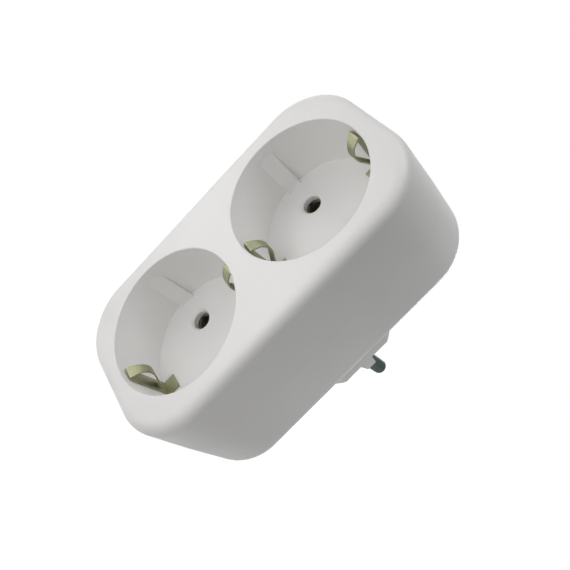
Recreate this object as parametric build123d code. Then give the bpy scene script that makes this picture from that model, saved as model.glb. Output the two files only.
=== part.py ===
"""Two-way wall adaptor: a moulded case with two round side-earth sockets and a two-pin plug at the back.

Frame: millimetres, +Z up along the case, +X to the right seen from the front, +Y towards the wall.
The origin is midway between the plug pins, on the end face of the plug boss.
A depth is measured from the front face of the case towards the wall.
"""
import os
from math import radians, sqrt, tan

from build123d import *

# Sockets
well_radius = 19.5
well_depth = 18.0
rim_round = 0.3
cup_wall = 1.8
cup_gap = 2.4
floor_thickness = 2.5
rib_width = 4.6
rib_height = 1.6
rib_start = 3.4
rib_nose = 11.0
rib_round = 8.0
hole_clearance = 0.3
hole_countersink = 0.6

# Case
rim_margin = 5.75
end_margin = 5.4
corner_radius = 16.2
case_wall = 2.2
front_wall = 2.5
cover_depth = 18.6
case_depth = 40.0
front_fillet = 3.2
rear_fillet = 5.5
cover_draft = 1.25
parting_chamfer = 0.05
lip_height = 1.5
lip_thickness = 1.0
lip_clearance = 0.1

# Plug
pin_spacing = 19.0
pin_radius = 2.4
pin_length = 19.0
pin_tip_round = 1.8
shank_radius = 2.1
shank_clearance = 0.05
shank_tube_wall = 1.9
boss_radius = 17.4
boss_height = 18.5
boss_wall = 2.6
boss_end = 4.0
boss_edge = 0.25
pin_cover = 5.5
tongue_base = 4.7
tongue_top = 3.4
tongue_height = 3.9
tongue_root = 2.0
tongue_thickness = 0.8

# Bus bars and socket contacts
sheet = 0.8
contact_wall = 0.5
contact_grip = 0.1
contact_slit = 1.2
contact_gap = 0.5
contact_length = 8.0
contact_tab = 8.0
contact_tab_height = 4.0
bar_standoff = 3.5
bar_height = 5.0
bar_overhang = 3.0
strap_gap = 3.0
strap_width = 7.0
strap_end = 3.0
strap_play = 0.1
tail_radius = 1.7
tail_head_radius = 2.65
tail_head_height = 0.8

# Earth path
clip_sheet = 0.45
clip_width = 4.5
clip_tongue = 2.7
clip_wall_gap = 0.08
clip_hem_width = 3.6
clip_hem_depth = 2.4
clip_hem_radius = 0.15
clip_taper = 2.0
clip_bow_reach = 5.0
clip_bow_depth = 5.9
clip_bow_radius = 4.5
clip_bow_lift = 3.9
clip_free_gap = 0.2
clip_floor_gap = 0.05
clip_toe = 3.9
clip_foot = 5.0
clip_foot_radius = 0.4
slot_clearance = 0.15
earth_bar_width = 5.0
earth_standoff = 2.0
plug_strip_width = 6.0
plug_strip_inset = 0.35
plug_strip_short = 3.4
plug_strip_foot = 6.0
plug_strip_radius = 0.4

# Fasteners
rivet_radius = 1.0
rivet_head = 1.7
rivet_head_height = 0.6
rivet_clearance = 0.05
screw_radius = 1.5
screw_head = 2.6
screw_head_height = 1.9
screw_slot = 0.8
screw_engaged = 9.0
screw_end_play = 1.0
screw_clearance = 0.1
screw_wall = 2.4
seat_depth = 6.0
flat_to_screw = 3.2

# Rests for the bars
rest_width = 1.6
rest_length = 2.0

# How far an edge may lie from the depth at which it is looked for
depth_tolerance = 0.001

# Sizes that follow
well_spacing = 2 * (well_radius + cup_wall) + cup_gap
case_width = 2 * (well_radius + rim_margin)
case_length = well_spacing + 2 * (well_radius + end_margin)
draft_growth = cover_depth * tan(radians(cover_draft))
rear_width = case_width + 2 * draft_growth
rear_length = case_length + 2 * draft_growth
rear_corner = corner_radius + draft_growth
plug_reach = case_depth + boss_height
floor_back = well_depth + floor_thickness
rear_inside = case_depth - case_wall
pin_x = pin_spacing / 2
shank_hole = shank_radius + shank_clearance
boss_flat = pin_x + pin_cover
screw_x = boss_flat + flat_to_screw
well_centres = {"upper": well_spacing / 2, "lower": -well_spacing / 2}
sides = {"right": 1, "left": -1}
ends = (1, -1)

contact_inner = pin_radius - contact_grip
contact_outer = contact_inner + contact_wall
contact_front = floor_back + contact_gap
bar_front = floor_back + bar_standoff
bar_back = bar_front + bar_height
bar_face = pin_x - contact_outer
bar_middle = (bar_front + bar_back) / 2
rivet_z = well_spacing / 2 - contact_tab + rivet_head + contact_wall
strap_back = rear_inside - strap_gap
strap_front = strap_back - sheet

clip_back = sqrt(well_radius**2 - (clip_width / 2) ** 2) - clip_wall_gap
clip_front = clip_back - clip_sheet
clip_bow_corner = well_radius - clip_bow_reach
clip_bow_end = well_depth - clip_bow_lift
earth_front = floor_back + earth_standoff
earth_back = earth_front + sheet
clip_rivet_r = clip_back - clip_foot + rivet_head
strip_outer = boss_radius - plug_strip_inset
strip_inner = strip_outer - sheet
strip_rivet_z = strip_inner - plug_strip_foot + rivet_head
earth_rest_z = (clip_rivet_r + well_spacing) / 2


def front_view(depth):
    """Sketch plane at a depth, seen from the front: x to the right, y up."""
    return Plane(origin=(0, depth - plug_reach, 0), x_dir=(1, 0, 0), z_dir=(0, -1, 0))


def slab(outline, front, back, taper=0.0):
    """Prism of a front-view outline between two depths."""
    return extrude(front_view(front) * outline, amount=back - front, dir=(0, 1, 0), taper=taper)


def rod(x, z, radius, front, back):
    """Round bar along Y between two depths."""
    return slab(Pos(x, z) * Circle(radius), front, back)


def block(x_low, x_high, front, back, z_low, z_high):
    """Rectangular block between two depths."""
    from_corner = (Align.MIN, Align.MIN, Align.MIN)
    sized = Box(x_high - x_low, back - front, z_high - z_low, align=from_corner)
    return Pos(x_low, front - plug_reach, z_low) * sized


def edges_at(part, depth):
    """Edges of a part that lie at one depth."""
    y = depth - plug_reach
    return part.edges().filter_by_position(Axis.Y, y - depth_tolerance, y + depth_tolerance)


def outline(width, length, radius, inset):
    """Rounded case outline, drawn in from its edge."""
    return RectangleRounded(width - 2 * inset, length - 2 * inset, radius - inset)


def boss_outline(inset):
    """Round plug outline with a flat beside each pin, drawn in from its edge."""
    flats = Rectangle(2 * (boss_flat - inset), 2 * boss_radius)
    return Circle(boss_radius - inset) & flats


def clip_slot(centre, end):
    """Opening in a well floor for the leg of one earth clip."""
    half = clip_tongue / 2 + slot_clearance
    near = centre + end * (clip_front - slot_clearance)
    far = centre + end * (clip_back + slot_clearance / 2)
    return block(-half, half, well_depth, floor_back, min(near, far), max(near, far))


def guide_rib(centre, side):
    """Rib on a well wall, with a long sloping nose, that slides in the groove at the side of a plug."""
    inner = side * (well_radius - rib_height)
    outer = side * (well_radius + cup_wall / 2)
    start = rib_start - plug_reach
    back = floor_back - floor_thickness / 2 - plug_reach
    corners = [
        (outer, start),
        (side * well_radius, start),
        (inner, start + rib_nose),
        (inner, back),
        (outer, back),
    ]
    profile = Plane.XY.offset(centre) * Polygon(*corners, align=None)
    rib = extrude(profile, rib_width / 2, both=True)
    return fillet(edges_at(rib, rib_start + rib_nose), rib_round)


def pin_hole(centre, side):
    """Countersunk pin hole through a well floor."""
    radius = pin_radius + hole_clearance
    hole = rod(side * pin_x, centre, radius, well_depth, floor_back)
    mouth = slab(Pos(side * pin_x, centre) * Circle(radius + hole_countersink), well_depth,
                 well_depth + hole_countersink, taper=45)
    return hole + mouth


def front_cover():
    """Moulded front: face, both wells and the front half of the sides."""
    body = slab(outline(case_width, case_length, corner_radius, 0), 0, cover_depth, taper=-cover_draft)
    body = fillet(edges_at(body, 0), front_fillet)
    body = chamfer(edges_at(body, cover_depth), parting_chamfer)
    body -= slab(outline(case_width, case_length, corner_radius, case_wall), front_wall, cover_depth,
                 taper=-cover_draft)
    rebate = case_wall - lip_thickness - lip_clearance
    body -= slab(outline(rear_width, rear_length, rear_corner, rebate),
                 cover_depth - lip_height - lip_clearance, cover_depth)
    for centre in well_centres.values():
        body += rod(0, centre, well_radius + cup_wall, front_wall / 2, floor_back)
    for side in sides.values():
        body += rod(side * screw_x, 0, screw_radius + screw_wall, front_wall / 2, cover_depth)
    for centre in well_centres.values():
        body -= rod(0, centre, well_radius, 0, well_depth)
    body = fillet(edges_at(body, 0).filter_by(GeomType.CIRCLE).group_by(SortBy.RADIUS)[-1], rim_round)
    for centre in well_centres.values():
        for side in sides.values():
            body += guide_rib(centre, side)
            body -= pin_hole(centre, side)
        for end in ends:
            body -= clip_slot(centre, end)
    for side in sides.values():
        body -= rod(side * screw_x, 0, screw_radius + screw_clearance / 2,
                    cover_depth - screw_engaged - screw_end_play, cover_depth)
    return body


def boss_tongue(side):
    """Tapered tongue that carries one flat on past the plug face, beside a pin."""
    base = tongue_base / 2
    top = tongue_top / 2
    corners = [
        (-tongue_root, -base),
        (0, -base),
        (tongue_height, -top),
        (tongue_height, top),
        (0, base),
        (-tongue_root, base),
    ]
    profile = Plane.YZ * Polygon(*corners, align=None)
    tongue = Pos(boss_flat, 0, 0) * extrude(profile, -tongue_thickness)
    return tongue if side > 0 else mirror(tongue, about=Plane.YZ)


def rest(x, z, width, front):
    """Post on the back wall that holds a bar against the front cover."""
    half = rest_length / 2
    return block(x - width / 2, x + width / 2, front, case_depth - case_wall / 2, z - half, z + half)


def rear_housing():
    """Moulded back: rear half of the sides, back wall and the hollow plug boss."""
    body = slab(outline(rear_width, rear_length, rear_corner, 0), cover_depth, case_depth)
    body = fillet(edges_at(body, case_depth), rear_fillet)
    body = chamfer(edges_at(body, cover_depth), parting_chamfer)
    hollow = slab(outline(rear_width, rear_length, rear_corner, case_wall), cover_depth, rear_inside)
    body -= fillet(edges_at(hollow, rear_inside), rear_fillet - case_wall)
    lip_outer = outline(rear_width, rear_length, rear_corner, case_wall - lip_thickness)
    lip_inner = outline(rear_width, rear_length, rear_corner, case_wall)
    body += slab(lip_outer - lip_inner, cover_depth - lip_height, cover_depth + lip_height)

    boss = slab(boss_outline(0), rear_inside, plug_reach)
    body += fillet(edges_at(boss, plug_reach), boss_edge)
    body -= slab(boss_outline(boss_wall), rear_inside, plug_reach - boss_end)
    for side in sides.values():
        body += boss_tongue(side)
        body += rod(side * pin_x, 0, shank_hole + shank_tube_wall, strap_back + strap_play,
                    plug_reach - boss_end)
        body += rod(side * screw_x, 0, screw_radius + screw_wall, cover_depth, rear_inside + case_wall / 2)
        for end in ends:
            bar_x = side * (bar_face - sheet / 2)
            body += rest(bar_x, end * (well_spacing / 2 - rest_length), rest_width, bar_back)
    for end in ends:
        body += rest(0, end * earth_rest_z, earth_bar_width, earth_back)
        half = plug_strip_width / 2 + slot_clearance
        low, high = sorted((end * (strip_inner - slot_clearance), end * (boss_radius + slot_clearance)))
        body -= block(-half, half, case_depth, plug_reach - plug_strip_short + slot_clearance, low, high)
        low, high = sorted((end * (strip_inner - slot_clearance), end * (strip_outer + slot_clearance)))
        body -= block(-half, half, rear_inside, case_depth, low, high)
    for side in sides.values():
        body -= rod(side * pin_x, 0, shank_hole, strap_back, plug_reach)
        body -= rod(side * screw_x, 0, screw_radius + screw_clearance, cover_depth, case_depth)
        body -= rod(side * screw_x, 0, screw_head + screw_clearance, case_depth - seat_depth, case_depth)
    return body


def plug_pin(side):
    """Turned pin with a rounded tip, a shoulder on the plug face and a tail peened over the bus bar."""
    x = side * pin_x
    pin = rod(x, 0, pin_radius, plug_reach, plug_reach + pin_length)
    pin = fillet(edges_at(pin, plug_reach + pin_length), pin_tip_round)
    pin += rod(x, 0, shank_radius, strap_back, plug_reach)
    pin += rod(x, 0, tail_radius, strap_front, strap_back)
    head = rod(x, 0, tail_head_radius, strap_front - tail_head_height, strap_front)
    return pin + fillet(edges_at(head, strap_front - tail_head_height), tail_head_height / 2)


def bus_bar(side):
    """Brass bar on edge behind both sockets, with a bent strap under the tail of one pin."""
    half_length = well_spacing / 2 + bar_overhang
    inner = bar_face - sheet
    bar = block(inner, bar_face, bar_front, bar_back, -half_length, half_length)
    bar += block(inner, bar_face, bar_middle, strap_back, -strap_width / 2, strap_width / 2)
    bar += block(inner, pin_x + strap_end, strap_front, strap_back, -strap_width / 2, strap_width / 2)
    bar -= rod(pin_x, 0, tail_radius + rivet_clearance, strap_front, strap_back)
    for end in ends:
        bar -= cross_hole(inner, bar_face, end * rivet_z)
    return bar if side > 0 else mirror(bar, about=Plane.YZ)


def across(x, z):
    """Plane across a bus bar at the middle of its height, facing +X."""
    return Plane(origin=(x, bar_middle - plug_reach, z), x_dir=(0, 1, 0), z_dir=(1, 0, 0))


def cross_hole(x_low, x_high, z):
    """Rivet hole along X through a bus bar or a contact tab."""
    return extrude(across(x_low, z) * Circle(rivet_radius + rivet_clearance), amount=x_high - x_low)


def sleeve_contact(side, end):
    """Split brass sleeve that grips a plug pin, with a flat tab riveted to its bus bar."""
    centre = end * well_spacing / 2
    back = contact_front + contact_length
    sleeve = rod(pin_x, centre, contact_outer, contact_front, back)
    tab_z = sorted((centre, centre - end * contact_tab))
    tab = block(bar_face, bar_face + contact_wall, bar_middle - contact_tab_height / 2,
                bar_middle + contact_tab_height / 2, *tab_z)
    sleeve += tab
    sleeve -= rod(pin_x, centre, contact_inner, contact_front, back)
    sleeve -= block(pin_x, pin_x + 2 * contact_outer, contact_front, back, centre - contact_slit / 2,
                    centre + contact_slit / 2)
    sleeve -= cross_hole(bar_face, bar_face + contact_wall, end * rivet_z)
    return sleeve if side > 0 else mirror(sleeve, about=Plane.YZ)


def rivet(grip):
    """Rivet along Z whose grip starts at the origin, with a low rounded head at each end."""
    upward = (Align.CENTER, Align.CENTER, Align.MIN)
    head = Pos(0, 0, grip) * Cylinder(rivet_head, rivet_head_height, align=upward)
    head = fillet(head.edges().sort_by(Axis.Z)[-1], rivet_head_height / 2)
    shank = Cylinder(rivet_radius, grip, align=upward)
    return shank + head + mirror(head, about=Plane.XY.offset(grip / 2))


def contact_rivets():
    """Four rivets that fasten the sleeve contacts to the bus bars."""
    rivets = []
    for end in ends:
        right = across(bar_face - sheet, end * rivet_z) * rivet(sheet + contact_wall)
        rivets += [right, mirror(right, about=Plane.YZ)]
    return Compound(children=rivets)


def folded_strip(points, radii, thickness, width):
    """Bent strip: the sheet lies to the right of a (depth, z) path, with a radius for each bend."""
    path = Plane.YZ * FilletPolyline(*[(depth - plug_reach, z) for depth, z in points], radius=radii)
    start = Plane(origin=path @ 0, x_dir=(1, 0, 0), z_dir=path % 0)
    return sweep(start * Rectangle(width, thickness, align=(Align.CENTER, Align.MIN)), path=path)


def clip_blank(low, high, width):
    """Prism over a clip between two heights, where the strip goes from its hem to another width."""
    front = clip_hem_depth - plug_reach
    back = well_depth - clip_floor_gap - plug_reach
    hem = clip_hem_width / 2
    half = width / 2
    corners = [
        (-hem, -plug_reach),
        (hem, -plug_reach),
        (hem, front),
        (half, front + clip_taper),
        (half, back),
        (-half, back),
        (-half, front + clip_taper),
        (-hem, front),
    ]
    return extrude(Plane.XY.offset(low) * Polygon(*corners, align=None), high - low)


def earth_clip(centre, end):
    """Brass spring clip: foot on the earth bar, leg up the well wall, hemmed over and bowed into the well."""
    foot_face = earth_front - clip_sheet
    points = [
        (foot_face, clip_back - clip_foot),
        (foot_face, clip_front),
        (clip_hem_depth, clip_front),
        (clip_bow_depth, clip_bow_corner),
        (clip_bow_end, clip_front - clip_free_gap),
    ]
    radii = [clip_foot_radius, clip_hem_radius, clip_bow_radius]
    clip = folded_strip(points, radii, clip_sheet, clip_tongue)
    wide = folded_strip(points, radii, clip_sheet, clip_width)
    half = clip_width / 2
    floor_face = well_depth - clip_floor_gap
    clip += wide & clip_blank(clip_front, well_radius, clip_width)
    clip += wide & clip_blank(clip_bow_corner, clip_front, clip_tongue)
    clip += block(-half, half, floor_face - clip_sheet, floor_face, clip_back - clip_toe, clip_back)
    clip -= rod(0, clip_rivet_r, rivet_radius + rivet_clearance, foot_face, earth_front)
    if end < 0:
        clip = mirror(clip, about=Plane.XY)
    return Pos(0, 0, centre) * clip


def plug_earth_strip(end):
    """Brass strip on the top or bottom of the plug boss, with its foot on the earth bar."""
    points = [
        (plug_reach - plug_strip_short, strip_inner),
        (earth_back + sheet, strip_inner),
        (earth_back + sheet, strip_inner - plug_strip_foot),
    ]
    strip = folded_strip(points, [plug_strip_radius], sheet, plug_strip_width)
    strip -= rod(0, strip_rivet_z, rivet_radius + rivet_clearance, earth_back, earth_back + sheet)
    return strip if end > 0 else mirror(strip, about=Plane.XY)


def earth_rivet_places():
    """Heights on the earth bar of the clip rivets and of the plug strip rivets."""
    clips = [centre + end * clip_rivet_r for centre in well_centres.values() for end in ends]
    strips = [end * strip_rivet_z for end in ends]
    return clips, strips


def earth_bar():
    """Flat brass bar that joins the four clips and both plug earth strips."""
    half_length = well_spacing / 2 + clip_back
    half_width = earth_bar_width / 2
    bar = block(-half_width, half_width, earth_front, earth_back, -half_length, half_length)
    clips, strips = earth_rivet_places()
    for z in clips + strips:
        bar -= rod(0, z, rivet_radius + rivet_clearance, earth_front, earth_back)
    return bar


def earth_rivets(heights, front, grip):
    """Rivets along Y through the earth bar and what lies on it."""
    places = [Plane(origin=(0, front - plug_reach, z), x_dir=(1, 0, 0), z_dir=(0, 1, 0)) for z in heights]
    return Compound(children=[place * rivet(grip) for place in places])


def case_screw(side):
    """Pan-head screw from the back of the case into a column of the front cover."""
    x = side * screw_x
    seat = case_depth - seat_depth
    head = rod(x, 0, screw_head, seat, seat + screw_head_height)
    head = fillet(edges_at(head, seat + screw_head_height), screw_head_height / 3)
    head -= block(x - screw_head, x + screw_head, seat + screw_head_height / 2, seat + screw_head_height,
                  -screw_slot / 2, screw_slot / 2)
    tip = cover_depth - screw_engaged
    shank = chamfer(edges_at(rod(x, 0, screw_radius, tip, seat), tip), screw_radius / 3)
    return head + shank


nodes = {"front_cover": front_cover(), "rear_housing": rear_housing(), "earth_bar": earth_bar()}
for side_name, side in sides.items():
    nodes[f"{side_name}_pin"] = plug_pin(side)
    nodes[f"{side_name}_busbar"] = bus_bar(side)
    nodes[f"{side_name}_case_screw"] = case_screw(side)
    nodes[f"upper_{side_name}_contact"] = sleeve_contact(side, 1)
    nodes[f"lower_{side_name}_contact"] = sleeve_contact(side, -1)
for well_name, centre in well_centres.items():
    nodes[f"{well_name}_well_top_clip"] = earth_clip(centre, 1)
    nodes[f"{well_name}_well_bottom_clip"] = earth_clip(centre, -1)
nodes["top_plug_earth_strip"] = plug_earth_strip(1)
nodes["bottom_plug_earth_strip"] = plug_earth_strip(-1)
clip_heights, strip_heights = earth_rivet_places()
nodes["contact_rivets"] = contact_rivets()
nodes["clip_rivets"] = earth_rivets(clip_heights, earth_front - clip_sheet, clip_sheet + sheet)
nodes["plug_strip_rivets"] = earth_rivets(strip_heights, earth_front, 2 * sheet)

os.makedirs("parts", exist_ok=True)
for name, solid in nodes.items():
    export_step(solid, f"parts/{name}.step")
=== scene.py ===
import math

import bpy
from mathutils import Matrix, Vector


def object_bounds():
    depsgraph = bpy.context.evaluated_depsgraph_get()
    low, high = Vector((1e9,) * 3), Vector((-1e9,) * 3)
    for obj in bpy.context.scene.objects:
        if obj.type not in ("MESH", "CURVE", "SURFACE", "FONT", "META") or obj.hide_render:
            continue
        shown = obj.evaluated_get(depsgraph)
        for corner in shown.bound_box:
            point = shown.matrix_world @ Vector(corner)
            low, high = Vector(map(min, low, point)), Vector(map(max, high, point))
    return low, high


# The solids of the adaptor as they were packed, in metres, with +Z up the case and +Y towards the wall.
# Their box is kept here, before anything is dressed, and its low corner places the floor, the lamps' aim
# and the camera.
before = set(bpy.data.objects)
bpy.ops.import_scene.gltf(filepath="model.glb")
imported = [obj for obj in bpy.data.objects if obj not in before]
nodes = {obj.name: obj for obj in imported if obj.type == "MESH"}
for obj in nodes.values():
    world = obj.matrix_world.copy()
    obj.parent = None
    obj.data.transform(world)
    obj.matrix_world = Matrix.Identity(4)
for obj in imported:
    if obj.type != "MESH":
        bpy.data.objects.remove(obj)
cad_low, cad_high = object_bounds()
MM = 0.001

# Rear housing
# The back half of the case, with the round plug boss, is one injection moulding in white ABS.
# Its tool was spark eroded and lightly polished, which leaves a satin skin with a very fine grain.
ABS_WHITE = "#F4F3F2"
ABS_FLOW = "#EFEEED"
ABS_ROUGHNESS = (0.36, 0.46)
ABS_IOR = 1.54
GRAIN_MM = 0.45
GRAIN_HEIGHT_MM = 0.004
FLOW_MM = 14.0


def linear(hex_colour):
    """An sRGB hex colour as linear red, green, blue and alpha."""
    parts = [int(hex_colour[i:i + 2], 16) / 255 for i in (1, 3, 5)]
    return [c / 12.92 if c <= 0.04045 else ((c + 0.055) / 1.055) ** 2.4 for c in parts] + [1.0]


def add(tree, kind, inputs, **settings):
    """Add one node: settings are its properties, and inputs are values or the sockets that feed them."""
    node = tree.nodes.new(kind)
    for name, value in settings.items():
        setattr(node, name, value)
    for name, value in inputs.items():
        if isinstance(value, bpy.types.NodeSocket):
            tree.links.new(value, node.inputs[name])
        else:
            node.inputs[name].default_value = value
    return node


def new_material(name):
    """An empty material, with its node tree and the place on the object in metres."""
    material = bpy.data.materials.new(name)
    material.use_nodes = True
    tree = material.node_tree
    tree.nodes.clear()
    place = add(tree, "ShaderNodeTexCoord", {}).outputs["Object"]
    return material, tree, place


def dress(material, *names):
    """Give the named solids one material."""
    for name in names:
        slots = nodes[name].data.materials
        slots.clear()
        slots.append(material)


# Spark-eroded ABS: the grain is drawn about three times coarser than the real one, so that it shows,
# and the melt's slow flow marks shift the white and the gloss a little over each face.
abs_white, tree, place = new_material("moulded_white_abs")
flow = add(tree, "ShaderNodeTexNoise", {"Vector": place, "Scale": 1 / (FLOW_MM * MM), "Detail": 3.0})
grain = add(tree, "ShaderNodeTexNoise", {"Vector": place, "Scale": 1 / (GRAIN_MM * MM), "Detail": 2.0})
colour = add(tree, "ShaderNodeMix", {
    "Factor": flow.outputs["Fac"], "A": linear(ABS_WHITE), "B": linear(ABS_FLOW),
}, data_type="RGBA")
gloss = add(tree, "ShaderNodeMapRange", {
    "Value": flow.outputs["Fac"], "To Min": ABS_ROUGHNESS[0], "To Max": ABS_ROUGHNESS[1],
})
skin = add(tree, "ShaderNodeBump", {"Height": grain.outputs["Fac"], "Distance": GRAIN_HEIGHT_MM * MM})
shader = add(tree, "ShaderNodeBsdfPrincipled", {
    "Base Color": colour.outputs["Result"], "Roughness": gloss.outputs["Result"], "IOR": ABS_IOR,
    "Normal": skin.outputs["Normal"],
})
add(tree, "ShaderNodeOutputMaterial", {"Surface": shader.outputs["BSDF"]})
dress(abs_white, "rear_housing")

# Plug pins
# Two solid brass pins, turned on a lathe and plated with dark nickel, with rounded tips.
# Each sits with its shoulder on the end of the boss, and its tail is peened over inside.
NICKEL = "#4B524F"
NICKEL_DULL = "#3D4340"
NICKEL_EDGE = "#C2C7C5"
NICKEL_ROUGHNESS = (0.25, 0.42)
HAZE_MM = 2.5
TOOL_MARK_MM = 2.2
TOOL_MARK_DEPTH_MM = 0.002
TOOL_MARK_STRENGTH = 0.4
WAVES_PER_UNIT = 20 / (2 * math.pi)

# Nickel plate over turned brass: a dark grey-green metal with slightly hazy reflections. The tool marks
# ring the pin, and are drawn about ten times coarser than the real ones, so that they show. A wave
# texture of scale 1 repeats WAVES_PER_UNIT times in each unit of length.
nickel, tree, place = new_material("dark_nickel_plate")
marks = add(tree, "ShaderNodeTexWave", {
    "Vector": place, "Scale": 1 / (TOOL_MARK_MM * MM * WAVES_PER_UNIT), "Distortion": 1.5,
}, bands_direction="Y")
haze = add(tree, "ShaderNodeTexNoise", {"Vector": place, "Scale": 1 / (HAZE_MM * MM), "Detail": 4.0})
colour = add(tree, "ShaderNodeMix", {
    "Factor": haze.outputs["Fac"], "A": linear(NICKEL), "B": linear(NICKEL_DULL),
}, data_type="RGBA")
gloss = add(tree, "ShaderNodeMapRange", {
    "Value": haze.outputs["Fac"], "To Min": NICKEL_ROUGHNESS[0], "To Max": NICKEL_ROUGHNESS[1],
})
turned = add(tree, "ShaderNodeBump", {
    "Height": marks.outputs["Fac"], "Distance": TOOL_MARK_DEPTH_MM * MM, "Strength": TOOL_MARK_STRENGTH,
})
shader = add(tree, "ShaderNodeBsdfPrincipled", {
    "Base Color": colour.outputs["Result"], "Roughness": gloss.outputs["Result"], "Metallic": 1.0,
    "Specular Tint": linear(NICKEL_EDGE), "Normal": turned.outputs["Normal"],
})
add(tree, "ShaderNodeOutputMaterial", {"Surface": shader.outputs["BSDF"]})
dress(nickel, "right_pin", "left_pin")

# Bus bars, contacts and earth path
# All are stamped from rolled brass strip, bent to shape and riveted together inside the case.
# The clips at the top and bottom of each well spring against the side contacts of a plug.
BRASS = "#B5B597"
BRASS_DULL = "#87876D"
BRASS_ROUGHNESS = (0.42, 0.62)
TARNISH_MM = 2.2
ROLLING_MM = 0.25
ROLLING_STRETCH = (1.0, 0.08, 0.08)
ROLLING_DEPTH_MM = 0.004
ROLLING_STRENGTH = 0.5

# Rolled brass, tarnished: a pale olive metal rather than a golden one, with duller patches. Fine streaks
# from the rolls blur its reflections, and are drawn coarser than the real ones, so that they show.
brass, tree, place = new_material("rolled_brass_strip")
along = add(tree, "ShaderNodeMapping", {"Vector": place, "Scale": ROLLING_STRETCH})
streaks = add(tree, "ShaderNodeTexNoise", {
    "Vector": along.outputs["Vector"], "Scale": 1 / (ROLLING_MM * MM), "Detail": 3.0,
})
tarnish = add(tree, "ShaderNodeTexNoise", {"Vector": place, "Scale": 1 / (TARNISH_MM * MM), "Detail": 4.0})
colour = add(tree, "ShaderNodeMix", {
    "Factor": tarnish.outputs["Fac"], "A": linear(BRASS), "B": linear(BRASS_DULL),
}, data_type="RGBA")
gloss = add(tree, "ShaderNodeMapRange", {
    "Value": streaks.outputs["Fac"], "To Min": BRASS_ROUGHNESS[0], "To Max": BRASS_ROUGHNESS[1],
})
rolled = add(tree, "ShaderNodeBump", {
    "Height": streaks.outputs["Fac"], "Distance": ROLLING_DEPTH_MM * MM, "Strength": ROLLING_STRENGTH,
})
shader = add(tree, "ShaderNodeBsdfPrincipled", {
    "Base Color": colour.outputs["Result"], "Roughness": gloss.outputs["Result"], "Metallic": 1.0,
    "Normal": rolled.outputs["Normal"],
})
add(tree, "ShaderNodeOutputMaterial", {"Surface": shader.outputs["BSDF"]})
dress(brass, "right_busbar", "left_busbar", "earth_bar", "top_plug_earth_strip", "bottom_plug_earth_strip")
dress(brass, "contact_rivets", "clip_rivets", "plug_strip_rivets")
for height in ("upper", "lower"):
    dress(brass, f"{height}_right_contact", f"{height}_left_contact")
    dress(brass, f"{height}_well_top_clip", f"{height}_well_bottom_clip")

# Front cover
# The front of the case with both wells is the second moulding, in the same white ABS.
# It drops over the lip of the rear housing and is held by the two case screws.
dress(abs_white, "front_cover")

# Case screws
# Two slotted pan-head screws in zinc-plated steel, sunk in the back of the case beside the boss.
# They pass through the rear housing and draw the front cover down on it.
ZINC = "#B8BCBE"
ZINC_BLOOM = "#A6ABAF"
ZINC_ROUGHNESS = (0.3, 0.5)
BLOOM_MM = 0.8

# Zinc plate: a dull, slightly blue metal, with a cloudy bloom that shifts its tone and its gloss.
zinc, tree, place = new_material("zinc_plated_steel")
bloom = add(tree, "ShaderNodeTexNoise", {"Vector": place, "Scale": 1 / (BLOOM_MM * MM), "Detail": 4.0})
colour = add(tree, "ShaderNodeMix", {
    "Factor": bloom.outputs["Fac"], "A": linear(ZINC), "B": linear(ZINC_BLOOM),
}, data_type="RGBA")
gloss = add(tree, "ShaderNodeMapRange", {
    "Value": bloom.outputs["Fac"], "To Min": ZINC_ROUGHNESS[0], "To Max": ZINC_ROUGHNESS[1],
})
shader = add(tree, "ShaderNodeBsdfPrincipled", {
    "Base Color": colour.outputs["Result"], "Roughness": gloss.outputs["Result"], "Metallic": 1.0,
})
add(tree, "ShaderNodeOutputMaterial", {"Surface": shader.outputs["BSDF"]})
dress(zinc, "right_case_screw", "left_case_screw")

# Floor
# A plain sheet of pale grey paper under the lower end of the case. The camera sees it lifted to white,
# as it does the backdrop, and it still takes the shadow of the case.
FLOOR_GREY = "#D8D8D7"
FLOOR_SIZE = 4.0
FLOOR_LIFT = 0.95


def seen_directly(tree):
    """One for the camera, reflections and clear pieces, and zero for the light that the surface gives."""
    rays = add(tree, "ShaderNodeLightPath", {}).outputs
    seen = rays["Is Camera Ray"]
    for kind in ("Is Glossy Ray", "Is Transmission Ray"):
        seen = add(tree, "ShaderNodeMath", {0: seen, 1: rays[kind]}, operation="MAXIMUM").outputs[0]
    return seen


bpy.ops.mesh.primitive_plane_add(size=FLOOR_SIZE, location=(0, 0, cad_low.z))
floor = bpy.context.object
floor.name = "floor"
paper, tree, _ = new_material("pale_paper")
lift = add(tree, "ShaderNodeMath", {0: seen_directly(tree), 1: FLOOR_LIFT}, operation="MULTIPLY")
glow = add(tree, "ShaderNodeEmission", {"Strength": lift.outputs[0]})
matt = add(tree, "ShaderNodeBsdfDiffuse", {"Color": linear(FLOOR_GREY)})
both = add(tree, "ShaderNodeAddShader", {0: matt.outputs["BSDF"], 1: glow.outputs["Emission"]})
add(tree, "ShaderNodeOutputMaterial", {"Surface": both.outputs["Shader"]})
floor.data.materials.append(paper)

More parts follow.
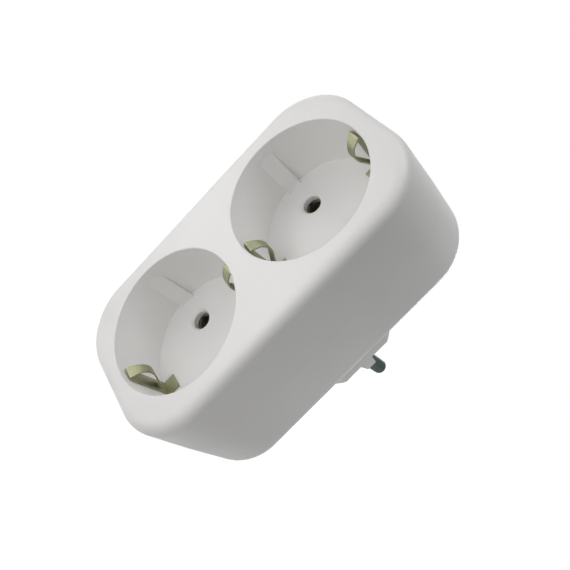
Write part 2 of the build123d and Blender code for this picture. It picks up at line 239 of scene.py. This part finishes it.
# Backdrop and lamps
# The backdrop is white to the camera and in reflections, and gives a low even light from all round.
# Soft lamps stand low on the left, low and close in front, near the camera, overhead and behind on the
# left, and two small ones behind on the right lift the rear of that side.
BACKDROP_WHITE = "#FFFFFF"
FILL_LIGHT = 0.09
LAMPS = {
    "left_lamp": {"at_mm": (-120, -185, -46), "size_mm": 220, "watts": 0.175},
    "near_lamp": {"at_mm": (10, -150, -46), "size_mm": 120, "watts": 0.053},
    "camera_lamp": {"at_mm": (250, -400, 20), "size_mm": 220, "watts": 0.19},
    "overhead_lamp": {"at_mm": (0, -200, 300), "size_mm": 220, "watts": 0.39},
    "back_lamp": {"at_mm": (-150, 380, 80), "size_mm": 160, "watts": 0.35},
    "low_rear_lamp": {"at_mm": (75, 55, -25), "size_mm": 80, "watts": 0.0075},
    "high_rear_lamp": {"at_mm": (65, 40, 60), "size_mm": 80, "watts": 0.008},
}
AIM_DEPTH_MM = 20
LAMP_AIM = Vector((0, cad_low.y + AIM_DEPTH_MM * MM, 0))

world = bpy.data.worlds.new("white_backdrop")
bpy.context.scene.world = world
world.use_nodes = True
tree = world.node_tree
tree.nodes.clear()
level = add(tree, "ShaderNodeMapRange", {"Value": seen_directly(tree), "To Min": FILL_LIGHT, "To Max": 1.0})
sky = add(tree, "ShaderNodeBackground", {
    "Color": linear(BACKDROP_WHITE), "Strength": level.outputs["Result"],
})
add(tree, "ShaderNodeOutputWorld", {"Surface": sky.outputs["Background"]})

for name, lamp in LAMPS.items():
    soft = bpy.data.lights.new(name, "AREA")
    soft.shape = "DISK"
    soft.size = lamp["size_mm"] * MM
    soft.energy = lamp["watts"]
    holder = bpy.data.objects.new(name, soft)
    holder.location = Vector(lamp["at_mm"]) * MM
    holder.rotation_euler = (holder.location - LAMP_AIM).to_track_quat("Z", "Y").to_euler()
    holder.visible_camera = False
    bpy.context.scene.collection.objects.link(holder)

# Camera
# It stands in front, to the right and a little above the middle of the case, and is rolled so that
# the case leans to the right. Its place and aim are measured from the middle of the front face, and
# they and the lens were fitted to the rims of both wells.
CAMERA_AT_MM = Vector((106.56, -106.07, 20.60))
CAMERA_AIM_MM = Vector((1.30, 21.34, 1.78))
CAMERA_ROLL_DEG = 44.10
CAMERA_LENS_MM = 38.68
SENSOR_MM = 36.0
CAMERA_NEAR_MM = 10.0

camera = bpy.data.objects.new("camera", bpy.data.cameras.new("camera"))
camera.data.lens = CAMERA_LENS_MM
camera.data.sensor_width = SENSOR_MM
camera.data.clip_start = CAMERA_NEAR_MM * MM
aim = (CAMERA_AIM_MM - CAMERA_AT_MM).to_track_quat("-Z", "Y").to_matrix().to_4x4()
roll = Matrix.Rotation(math.radians(CAMERA_ROLL_DEG), 4, "Z")
front_face = Vector((0, cad_low.y, 0))
camera.matrix_world = Matrix.Translation(front_face + CAMERA_AT_MM * MM) @ aim @ roll
bpy.context.scene.collection.objects.link(camera)
bpy.context.scene.camera = camera
bpy.context.scene.view_settings.view_transform = "Standard"
